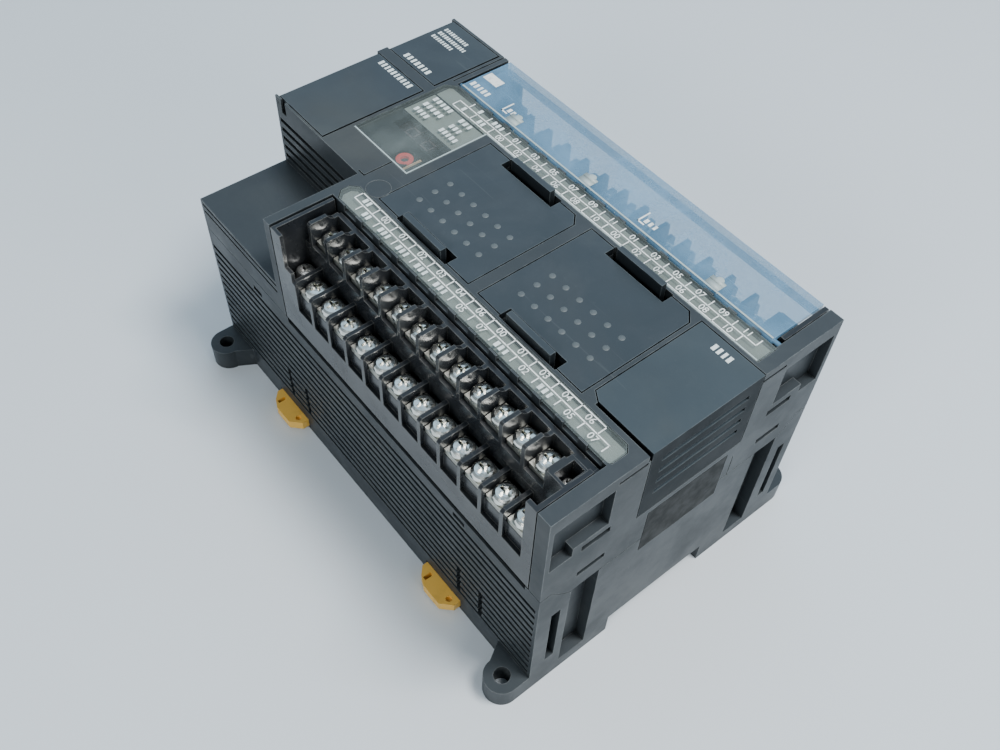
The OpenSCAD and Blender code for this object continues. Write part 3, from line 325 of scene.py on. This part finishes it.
MATERIALS = {
    "case": moulded_plastic("case_plastic", (0.034, 0.042, 0.048), (0.13, 0.14, 0.14), 0.32, 0.4, 0.18,
                            wear_and_highlight=0.8, side_shade=0.55),
    "cover": moulded_plastic("cover_plastic", COVER_SHADE, COVER_DUST, 0.32, 0.36, 0.4,
                             grain=0.8, wear_and_highlight=0.7, side_shade=0.3),
    # The expansion cover's front colour is lightened and blued as a painted sheen, and the last argument
    # gives its sides painted shade.
    "expansion": moulded_plastic("expansion_cover_plastic", (0.045, 0.06, 0.071), COVER_DUST, 0.32, 0.36,
                                 0.02, grain=0.8, wear_and_highlight=0.6, side_shade=0.15),
    "block": moulded_plastic("block_plastic", (0.011, 0.013, 0.016), (0.15, 0.15, 0.14), 0.2, 0.24, 0.4,
                             grain=0.5, wear_and_highlight=0.7),
    "dot": moulded_plastic("dot_plastic", (0.075, 0.09, 0.098), (0.16, 0.18, 0.18), 0.6, 0.5, 0.3),
    "screw": nickel_plate("screw_nickel", (0.9, 0.9, 0.84), (0.34, 0.34, 0.28), 0.13),
    "plate": nickel_plate("plate_nickel", (0.6, 0.6, 0.54), (0.2, 0.18, 0.14), 0.26, True),
    "spacer": nickel_plate("spacer_nickel", (0.7, 0.7, 0.68), (0.3, 0.3, 0.3), 0.25, True),
    "shell": nickel_plate("shell_steel", (0.7, 0.71, 0.72), (0.35, 0.35, 0.34), 0.28, True),
    "alloy": nickel_plate("heat_sink_alloy", (0.7, 0.71, 0.73), (0.45, 0.45, 0.45), 0.32, True),
    "clip": smooth_plastic("clip_plastic", (0.84, 0.49, 0.085), 0.36, 0.35),
    "window": clear_plastic("window_plastic", (0.2, 0.24, 0.23), 0.14, 0.18, 0.12),
    # The cover's blue is partly its own tint and partly a painted reflection of a blue backdrop.
    "clear": clear_plastic("cover_clear_plastic", (0.13, 0.28, 0.43), 0.44, 0.2, 0.16),
    "film": smooth_plastic("label_film_olive", (0.27, 0.315, 0.28), 0.4, 0.3),
    "pale_edge_highlight": smooth_plastic("painted_edge_highlight", (0.42, 0.5, 0.5), 0.3, 0.3),
    "side_label": smooth_plastic("side_label_film", (0.006, 0.007, 0.007), 0.3, 0.12, specular=0.04),
    "white_ink": printed("white_ink", (0.93, 0.97, 0.95)),
    "legend_ink": printed("legend_ink", (0.78, 0.86, 0.85)),
    "sticker": printed("blank_sticker", (0.9, 0.93, 0.9)),
    "board": circuit_board("circuit_board"),
    "dark": smooth_plastic("dark_component", (0.02, 0.02, 0.022), 0.4),
    "light": smooth_plastic("light_connector", (0.62, 0.58, 0.47), 0.45),
    "winding": copper_winding("copper_winding"),
    "can": smooth_plastic("capacitor_sleeve", (0.025, 0.03, 0.11), 0.25),
    "battery": smooth_plastic("battery_sleeve", (0.08, 0.26, 0.5), 0.28),
    "display": smooth_plastic("display_face", (0.02, 0.014, 0.014), 0.15, 0.1),
    "segment": smooth_plastic("display_segments", (0.1, 0.085, 0.085), 0.4, 0.1),
    "switch": smooth_plastic("switch_body", (0.03, 0.05, 0.09), 0.4, 0.2),
    "dial": smooth_plastic("dial_plastic", (0.78, 0.07, 0.055), 0.3, 0.15),
    "tan": smooth_plastic("tan_connector", (0.74, 0.56, 0.36), 0.4, 0.15),
    "lamp": smooth_plastic("lamp_lens", (0.62, 0.68, 0.5), 0.2, 0.1),
}

NODE_MATERIALS = {
    "case": ["back_case", "front_case"],
    "cover": ["port_lid", "battery_lid", "option_cover_left", "option_cover_right"],
    "expansion": ["expansion_cover"],
    "block": ["output_terminal_block", "input_terminal_block"],
    "screw": ["output_screws", "input_screws"],
    "spacer": ["output_block_screws", "input_block_screws", "board_spacers"],
    "plate": ["output_clamp_plates", "input_clamp_plates", "output_contacts", "input_contacts"],
    "clip": ["din_clip_left", "din_clip_right"],
    "window": ["indicator_window", "output_label_strip"],
    "clear": ["input_cover"],
    "side_label": ["side_label"],
    "board": ["power_board", "io_board", "cpu_board"],
    "dark": ["output_header", "input_header", "power_transistors", "output_relays", "input_couplers",
             "logic_chips", "expansion_connector", "battery_holder"],
    "light": ["fuse", "board_links", "option_connectors", "adjuster_base"],
    "winding": ["transformer", "line_filter"],
    "can": ["capacitors"],
    "alloy": ["heat_sink"],
    "shell": ["port_connector"],
    "battery": ["battery"],
    "display": ["segment_display"],
    "switch": ["mode_switches"],
    "dial": ["adjuster_dial"],
    "tan": ["adjuster_connector"],
    "lamp": ["indicator_lamps"],
}


CASE_ROUND = 0.22
CLEAR_ROUND = 0.18
MOULDED_NODES = ["back_case", "front_case", "port_lid", "battery_lid", "option_cover_left",
                 "option_cover_right", "expansion_cover", "output_terminal_block",
                 "input_terminal_block", "din_clip_left", "din_clip_right"]


def dress_nodes():
    for key, names in NODE_MATERIALS.items():
        for name in names:
            obj = NODES[name]
            obj.data.materials.clear()
            obj.data.materials.append(MATERIALS[key])


def round_edges(names, width):
    """Small moulded radii on the edges of CAD nodes."""
    sharp = math.radians(40)
    for name in names:
        bevel = NODES[name].modifiers.new("moulded_edges", "BEVEL")
        bevel.width = width * MM
        bevel.segments = 2
        bevel.limit_method = "ANGLE"
        bevel.angle_limit = sharp
        bevel.use_clamp_overlap = True
        bevel.harden_normals = False


# ---------------------------------------------------------------- mesh building


class Builder:
    """Collects flat and solid shapes, in millimetres, and makes one object of them."""

    def __init__(self):
        self.bm = bmesh.new()

    def block(self, low, high):
        made = bmesh.ops.create_cube(self.bm, size=1.0)
        size = Vector(high) - Vector(low)
        middle = (Vector(high) + Vector(low)) / 2
        move = Matrix.Translation(middle) @ Matrix.Diagonal((*size, 1.0))
        bmesh.ops.transform(self.bm, matrix=move, verts=made["verts"])

    def sheet(self, x0, x1, y0, y1, z, thick=0.02):
        self.block((x0, y0, z), (x1, y1, z + thick))

    def outline(self, points, z0, z1):
        """A prism over an outline in X and Y."""
        low = [self.bm.verts.new((x, y, z0)) for x, y in points]
        face = self.bm.faces.new(low)
        made = bmesh.ops.extrude_face_region(self.bm, geom=[face])
        top = [g for g in made["geom"] if isinstance(g, bmesh.types.BMVert)]
        bmesh.ops.translate(self.bm, verts=top, vec=(0, 0, z1 - z0))

    def dome(self, x, y, z, radius, height, segments=16, rings=4):
        made = bmesh.ops.create_uvsphere(self.bm, u_segments=segments, v_segments=2 * rings, radius=1.0)
        move = Matrix.Translation((x, y, z)) @ Matrix.Diagonal((radius, radius, height, 1.0))
        bmesh.ops.transform(self.bm, matrix=move, verts=made["verts"])

    def digits(self, text, x, y, z, size):
        """Flat digits centred on a point, read along +X."""
        curve = bpy.data.curves.new("digits", "FONT")
        curve.body = text
        curve.size = size
        curve.align_x = "CENTER"
        curve.align_y = "CENTER"
        curve.extrude = 0.01
        curve.resolution_u = 3
        obj = bpy.data.objects.new("digits", curve)
        bpy.context.scene.collection.objects.link(obj)
        bpy.context.view_layer.update()
        mesh = bpy.data.meshes.new_from_object(obj.evaluated_get(bpy.context.evaluated_depsgraph_get()))
        mesh.transform(Matrix.Translation((x, y, z)))
        self.bm.from_mesh(mesh)
        bpy.data.meshes.remove(mesh)
        bpy.data.objects.remove(obj)
        bpy.data.curves.remove(curve)

    def word(self, x0, x1, y, z, height, letters):
        """A row of blank marks in the place of a word, one mark for each letter."""
        step = (x1 - x0) / letters
        widths = 3
        for i in range(letters):
            narrow = 0.08 * step * (i * 7 % widths)
            left = x0 + step * i + narrow / 2
            self.sheet(left, left + step * 0.66 - narrow, y - height / 2, y + height / 2, z)

    def build(self, name, material, body, smooth=False):
        bmesh.ops.scale(self.bm, vec=(MM, MM, MM), verts=self.bm.verts)
        bmesh.ops.recalc_face_normals(self.bm, faces=self.bm.faces)
        mesh = bpy.data.meshes.new(name)
        self.bm.to_mesh(mesh)
        self.bm.free()
        for polygon in mesh.polygons:
            polygon.use_smooth = smooth
        mesh.materials.append(MATERIALS[material])
        obj = bpy.data.objects.new(name, mesh)
        bpy.context.scene.collection.objects.link(obj)
        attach(obj, body)
        return obj


# ---------------------------------------------------------------- label strips


def upper_barrier_x(i):
    return LAST_BARRIER_X - PITCH * i


def lower_barrier_x(i):
    return upper_barrier_x(i) - PITCH / 2


def label_grid(side, cells, far_codes, near_codes, name):
    """White rules and codes on a label strip. side is -1 at the outputs and +1 at the inputs.

    The far row is the one away from the terminals. A code is digits, or a number of blank letters.
    """
    line = 0.3
    digit_size = 2.6
    letter_pitch = 1.5
    letter_height = 1.7
    far_edge = side * (STRIP_IN + 0.35)
    far_row = side * 21.15
    middle = side * STRIP_MID
    near_row = side * 24.0
    near_edge = side * (STRIP_OUT - 0.85)
    b = Builder()
    words = Builder()

    def rule(x0, x1, y0, y1):
        b.sheet(x0, x1, min(y0, y1), max(y0, y1), INK_Z)

    def upright(x, y0, y1):
        rule(x - line / 2, x + line / 2, y0, y1)

    def code_mark(code, x, y):
        if isinstance(code, int):
            half = code * letter_pitch / 2
            words.word(x - half, x + half, y, INK_Z, letter_height, code)
        else:
            b.digits(code, x, y, INK_Z, digit_size)

    first = upper_barrier_x(cells) - line / 2
    rule(first, lower_barrier_x(-1) + line / 2, middle - line / 2, middle + line / 2)
    rule(first, upper_barrier_x(0) + line / 2, far_edge, far_edge + side * line)
    for i in range(cells + 1):
        upright(upper_barrier_x(i), far_edge, middle)
        upright(lower_barrier_x(i - 1), middle, near_edge)
    for i, code in enumerate(reversed(far_codes)):
        code_mark(code, upper_barrier_x(i) - PITCH / 2, far_row)
    for i, code in enumerate(reversed(near_codes)):
        code_mark(code, lower_barrier_x(i - 1) - PITCH / 2, near_row)
    b.build(name, "white_ink", "case")
    words.build(name + "_words", "legend_ink", "case")


def under_panel(panel):
    """The height of a film's lower face when it lies just behind a clear panel."""
    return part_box(panel)[0].z / MM - FILM_GAP - FILM_THICK


def output_labels():
    far = [2, "00", "01", "02", "03", "04", "06", "00", "01", "03", "04", "06"]
    near = [2, 3, 3, 3, 3, "05", "07", 3, "02", 3, "05", "07"]
    label_grid(-1, OUT_CELLS, far, near, "output_print")
    low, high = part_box("output_label_strip")
    rim = 0.75
    cut = 1.2
    x0, x1 = low.x / MM + rim, high.x / MM - rim
    y0, y1 = low.y / MM + rim, high.y / MM - rim
    z = under_panel("output_label_strip")
    b = Builder()
    b.outline([(x0 + cut, y0), (x1, y0), (x1, y1), (x0 + cut, y1), (x0, y1 - cut), (x0, y0 + cut)],
              z, z + FILM_THICK)
    b.build("output_film", "film", "case")


def input_labels():
    far = [1, 2] + ["%02d" % n for n in range(0, 12, 2)] * 2
    near = [1, 3] + ["%02d" % n for n in range(1, 12, 2)] * 2
    label_grid(1, IN_CELLS, far, near, "input_print")
    low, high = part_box("indicator_window")
    rim = 0.8
    left, right = low.x / MM + rim, high.x / MM - rim
    front, back = STRIP_IN + 0.5, high.y / MM - rim
    b = Builder()
    b.sheet(left, right, front, back, under_panel("indicator_window"), FILM_THICK)
    b.build("input_film", "film", "case")


def window_rims():
    """The bright edges of the clear window and of the input label strip, painted as a highlight."""
    low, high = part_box("indicator_window")
    left, right, front = low.x / MM, high.x / MM, low.y / MM
    wide = 0.4
    corner = WINDOW_CORNER_X + wide
    b = Builder()
    b.sheet(left, corner, front, front + wide, INK_Z)
    b.sheet(corner - wide, corner, front + wide, STRIP_IN, INK_Z)
    b.sheet(corner, right - wide, STRIP_IN, STRIP_IN + wide, INK_Z)
    b.build("window_rims", "pale_edge_highlight", "case")


def window_print():
    """The opaque legend field beside the lamps, with blank marks for its six legends."""
    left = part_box("indicator_window")[0].x / MM + 0.7
    right = WINDOW_CORNER_X - 0.3
    front, back = 8.8, STRIP_IN - 0.1
    height = 1.7
    legends = [
        # left end, right end, Y, number of letters
        (-47.6, -41.6, 10.9, 4),
        (-47.7, -39.4, 14.1, 5),
        (-47.7, -39.5, 17.5, 5),
        (-36.2, -28.9, 10.9, 5),
        (-35.8, -31.2, 14.0, 3),
        (-36.0, -30.8, 17.4, 3),
    ]
    b = Builder()
    b.sheet(left, right, front, back, under_panel("indicator_window"), FILM_THICK)
    b.build("legend_field", "film", "case")
    b = Builder()
    for x0, x1, y, letters in legends:
        b.word(x0, x1, y, INK_Z, height, letters)
    b.build("legend_words", "legend_ink", "case")


def lid_print():
    """Blank marks in the place of the words on the lids and on the expansion cover."""
    large, small = 2.0, 1.4
    b = Builder()
    b.word(-70.3, -55.2, 15.0, INK_Z, large, 10)
    b.build("port_word", "legend_ink", "port_lid")
    b = Builder()
    b.word(-69.0, -57.1, 22.9, INK_Z, large, 7)
    for y, x1, letters in ((39.6, -61.5, 10), (37.2, -59.5, 12), (34.8, -62.5, 9)):
        b.word(-72.0, x1, y, INK_Z, small, letters)
    b.build("battery_words", "legend_ink", "battery_lid")
    b = Builder()
    b.word(61.9, 68.1, 14.7, INK_Z, large, 4)
    b.build("expansion_word", "legend_ink", "expansion_cover")


# ---------------------------------------------------------------- details


def option_dots():
    """Rows of low round pips on the option covers."""
    pitch = 4.85
    columns, rows = 6, 3
    first_dx, first_y = -12.0, -10.0
    radius, height = 0.9, 0.25
    sunk = 0.05
    for side in ("left", "right"):
        low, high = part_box("option_cover_" + side)
        first_x = (low.x + high.x) / 2 / MM + first_dx
        b = Builder()
        for i in range(columns):
            for j in range(rows):
                b.dome(first_x + i * pitch, first_y + j * pitch, FRONT_Z - sunk, radius, height)
        b.build("cover_dots_" + side, "dot", side + "_option_cover", smooth=True)


def cover_marks():
    """A blank sticker, bracket marks and blank words on the terminal cover."""
    b = Builder()
    b.sheet(-47.4, -41.4, 34.2, 37.4, INK_Z)
    b.build("cover_sticker", "sticker", "input_cover")

    bracket_y0, bracket_y1 = 29.1, 33.7
    foot = 2.4
    line = 0.45
    small, large = 1.6, 2.0
    b = Builder()
    for x in (-33.0, 21.4):
        b.sheet(x, x + line, bracket_y0, bracket_y1, INK_Z)
        b.sheet(x, x + foot, bracket_y0, bracket_y0 + line, INK_Z)
        b.word(x + 1.4, x + 6.0, 30.8, INK_Z, small, 3)
    b.word(-47.2, -39.2, 30.2, INK_Z, large, 5)
    b.build("cover_marks", "white_ink", "input_cover")


def cover_hooks():
    """The clear hooks and the bright line along the terminal cover's hinge, painted in a pale highlight
    tone.

    The hooks stand up only where the open cover carries them over the edge of the case.
    """
    low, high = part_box("input_cover")
    hinge_y = low.y / MM + 1.0
    hook_y = hinge_y + 1.8
    half = 2.2
    rise = 0.2
    radius, dome_rise = 1.2, 0.3
    b = Builder()
    for x in (-27.3, 2.9, 48.6):
        b.sheet(x - half, x + half, hinge_y, hook_y, INK_Z)
        b.block((x - half, hook_y, FRONT_Z - rise), (x + half, hook_y + radius, FRONT_Z + rise))
        b.dome(x, hook_y + radius, FRONT_Z, radius, dome_rise)
    b.build("cover_hooks", "pale_edge_highlight", "input_cover", smooth=True)
    b = Builder()
    b.sheet(low.x / MM + 3.6, high.x / MM - 3.0, hinge_y - 0.6, hinge_y - 0.1, INK_Z)
    b.build("cover_hinge_line", "pale_edge_highlight", "input_cover")


def display_details():
    """Segments of the two figures on the display."""
    low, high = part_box("segment_display")
    top = high.z / MM
    middle_x = (low.x + high.x) / 2 / MM
    middle_y = (low.y + high.y) / 2 / MM
    half, rise, bar, gap = 1.6, 2.9, 0.5, 0.5
    thick = 0.05
    figure_x = 3.4
    b = Builder()
    for centre in (middle_x - figure_x, middle_x + figure_x):
        for y in (middle_y - rise, middle_y, middle_y + rise):
            b.sheet(centre - half, centre + half, y - bar / 2, y + bar / 2, top, thick)
        for x in (centre - half, centre + half):
            for y in (middle_y - rise, middle_y):
                b.sheet(x - bar / 2, x + bar / 2, y + gap, y + rise - gap, top, thick)
    b.build("display_segments", "segment", "case")


def dial_recess():
    """The dark well in the middle of the adjuster's dial."""
    low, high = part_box("adjuster_dial")
    floor_z = high.z / MM - 0.78
    radius, rise = 1.15, 0.05
    b = Builder()
    b.dome((low.x + high.x) / 2 / MM, (low.y + high.y) / 2 / MM, floor_z, radius, rise)
    b.build("dial_recess", "dark", "adjuster", smooth=True)


def moulded_ring():
    """A faint raised ring in the front face, left by the mould."""
    b = Builder()
    turns = 48
    middle_x, middle_y = -26.6, -16.0
    outer, inner = 3.4, 3.15
    height = 0.07
    z = FRONT_Z - 0.01
    rings = []
    for radius, rise in ((outer, 0.0), (outer, height), (inner, height), (inner, 0.0)):
        rings.append([b.bm.verts.new((middle_x + radius * math.cos(k * math.tau / turns),
                                      middle_y + radius * math.sin(k * math.tau / turns), z + rise))
                      for k in range(turns)])
    for low, high in zip(rings, rings[1:]):
        for k in range(turns):
            n = (k + 1) % turns
            b.bm.faces.new((low[k], low[n], high[n], high[k]))
    b.build("moulded_ring", "case", "case", smooth=True)


# ---------------------------------------------------------------- stage, camera and light

LIT_POINT = Vector((0, 0, 40)) * MM


def stage():
    """A plain pale floor that reaches 4 m each way."""
    shade, paler = (0.67, 0.73, 0.775), (0.71, 0.77, 0.815)
    half = 4.0
    s = Shader("floor_paint")
    s.finish(color=s.mix(s.noise(4, 4, 0.6), shade, paler), rough=0.6)
    mesh = bpy.data.meshes.new("floor")
    corners = [(-half, -half, 0), (half, -half, 0), (half, half, 0), (-half, half, 0)]
    mesh.from_pydata(corners, [], [(0, 1, 2, 3)])
    mesh.materials.append(s.mat)
    floor = bpy.data.objects.new("floor", mesh)
    bpy.context.scene.collection.objects.link(floor)


def camera():
    """A camera that orbits a target point, turned a little about its own line of sight."""
    azimuth = math.radians(48.814)
    elevation = math.radians(51.955)
    roll = math.radians(3.054)
    distance = 286.107 * MM
    target = Vector((12.585, -5.864, 40.0)) * MM
    sensor, focal = 36, 37.457
    back = Vector((math.cos(elevation) * math.sin(azimuth), -math.cos(elevation) * math.cos(azimuth),
                   math.sin(elevation)))
    level = Vector((math.cos(azimuth), math.sin(azimuth), 0))
    upright = back.cross(level)
    right = level * math.cos(roll) + upright * math.sin(roll)
    up = upright * math.cos(roll) - level * math.sin(roll)
    data = bpy.data.cameras.new("camera")
    data.sensor_width = sensor
    data.lens = focal
    data.clip_start = 0.01
    cam = bpy.data.objects.new("camera", data)
    turned = Matrix((right, up, back)).transposed().to_4x4()
    cam.matrix_world = Matrix.Translation(target + back * distance) @ turned
    bpy.context.scene.collection.objects.link(cam)
    bpy.context.scene.camera = cam


def area_light(name, place, size, power, color):
    """A soft rectangular light that points at the middle of the module."""
    data = bpy.data.lights.new(name, "AREA")
    data.shape = "RECTANGLE"
    data.size, data.size_y = size
    data.energy = power
    data.color = color
    light = bpy.data.objects.new(name, data)
    light.location = place
    aim = LIT_POINT - Vector(place)
    light.rotation_euler = aim.to_track_quat("-Z", "Y").to_euler()
    bpy.context.scene.collection.objects.link(light)


def lights():
    world = bpy.data.worlds.new("studio")
    world.use_nodes = True
    background = world.node_tree.nodes["Background"]
    background.inputs["Color"].default_value = (0.7, 0.86, 1.0, 1)
    background.inputs["Strength"].default_value = 0.4
    bpy.context.scene.world = world
    area_light("key", (1.0, 0.05, 0.6), (0.4, 0.3), 3.0, (1.0, 0.99, 0.95))
    area_light("front", (0.35, -1.0, 0.7), (0.5, 0.3), 6.5, (1.0, 1.0, 0.98))
    area_light("overhead", (0.45, 0.25, 1.1), (0.35, 0.35), 14.0, (1.0, 1.0, 1.0))
    area_light("sheen", (-0.4, 0.36, 0.68), (0.9, 0.9), 1.9, (0.5, 0.75, 1.0))


dress_nodes()
round_edges(MOULDED_NODES, CASE_ROUND)
round_edges(["input_cover"], CLEAR_ROUND)
output_labels()
input_labels()
window_rims()
window_print()
lid_print()
option_dots()
cover_marks()
cover_hooks()
display_details()
dial_recess()
moulded_ring()
stage()
camera()
lights()
